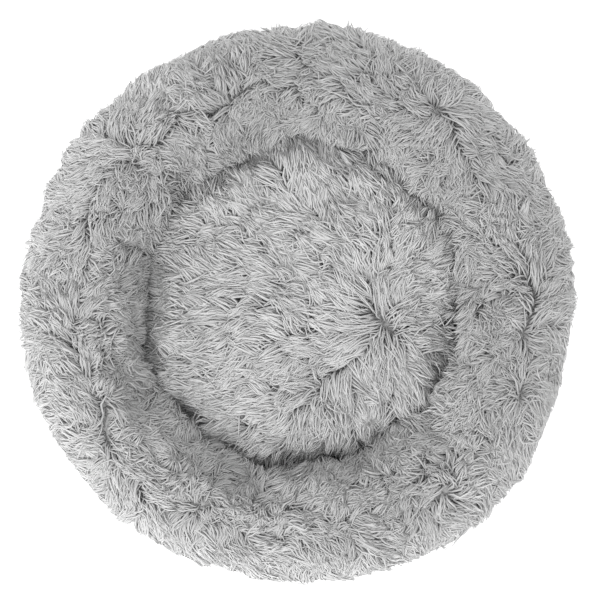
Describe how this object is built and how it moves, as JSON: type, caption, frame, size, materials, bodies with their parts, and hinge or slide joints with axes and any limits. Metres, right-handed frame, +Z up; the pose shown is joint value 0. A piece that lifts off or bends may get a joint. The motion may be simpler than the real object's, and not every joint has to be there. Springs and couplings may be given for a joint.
{
  "type": "pet cushion bed",
  "caption": "Round plush pet bed: a stuffed ring bolster on a padded base with a loose cushion in its nest and a zip across the underside.",
  "frame": {"origin": "centre of the bed on the floor it rests on", "axes": "+Z up out of the nest; +Y towards the back of the bed; the zip across the underside runs along X"},
  "size_m": [0.596, 0.596, 0.15],
  "materials": {
    "plush_fur": "long-pile plush fur, brushed",
    "nonwoven_cloth": "thin bonded nonwoven, matt",
    "polyester_fibre": "loose polyester fibre",
    "woven_base_cloth": "plain weave, matt",
    "pvc_grip": "soft printed PVC, satin",
    "zip_tape": "narrow woven tape",
    "zip_coil": "nylon monofilament",
    "zip_metal": "lacquered zinc casting",
    "sewing_thread": "twisted polyester thread",
    "satin_label": "satin ribbon, blank"
  },
  "bodies": {
    "bed": {"ring_fur_front_left": "plush_fur", "ring_fur_back_right": "plush_fur", "ring_liner": "nonwoven_cloth", "ring_filling": "polyester_fibre", "nest_floor_panel": "woven_base_cloth", "base_wadding": "polyester_fibre", "base_panel_front": "woven_base_cloth", "base_panel_back": "woven_base_cloth", "grip_dots_front": "pvc_grip", "grip_dots_back": "pvc_grip", "base_seam_stitching": "sewing_thread", "zip_tape_front": "zip_tape", "zip_tape_back": "zip_tape", "zip_coil_front": "zip_coil", "zip_coil_back": "zip_coil", "zip_top_stops": "zip_metal", "zip_bottom_stop": "zip_metal", "zip_stitching": "sewing_thread"},
    "zip_slider": {"zip_slider": "zip_metal"},
    "zip_pull": {"zip_pull": "zip_metal"},
    "cushion": {"cushion_fur_top": "plush_fur", "cushion_base_cloth": "woven_base_cloth", "cushion_filling": "polyester_fibre", "cushion_seam_stitching": "sewing_thread", "care_label": "satin_label"}
  },
  "joints": [
    {"name": "cushion_lift", "type": "slide", "parent": "bed", "child": "cushion", "axis": [0, 0, 1], "range_m": [0, 0.2]},
    {"name": "zip_open", "type": "slide", "parent": "bed", "child": "zip_slider", "axis": [-1, 0, 0], "range_m": [0, 0.34]},
    {"name": "zip_pull_swing", "type": "hinge", "parent": "zip_slider", "child": "zip_pull", "pos_m": [0.1747, 0, 0.00275], "axis": [0, -1, 0], "range_deg": [0, 180]}
  ]
}
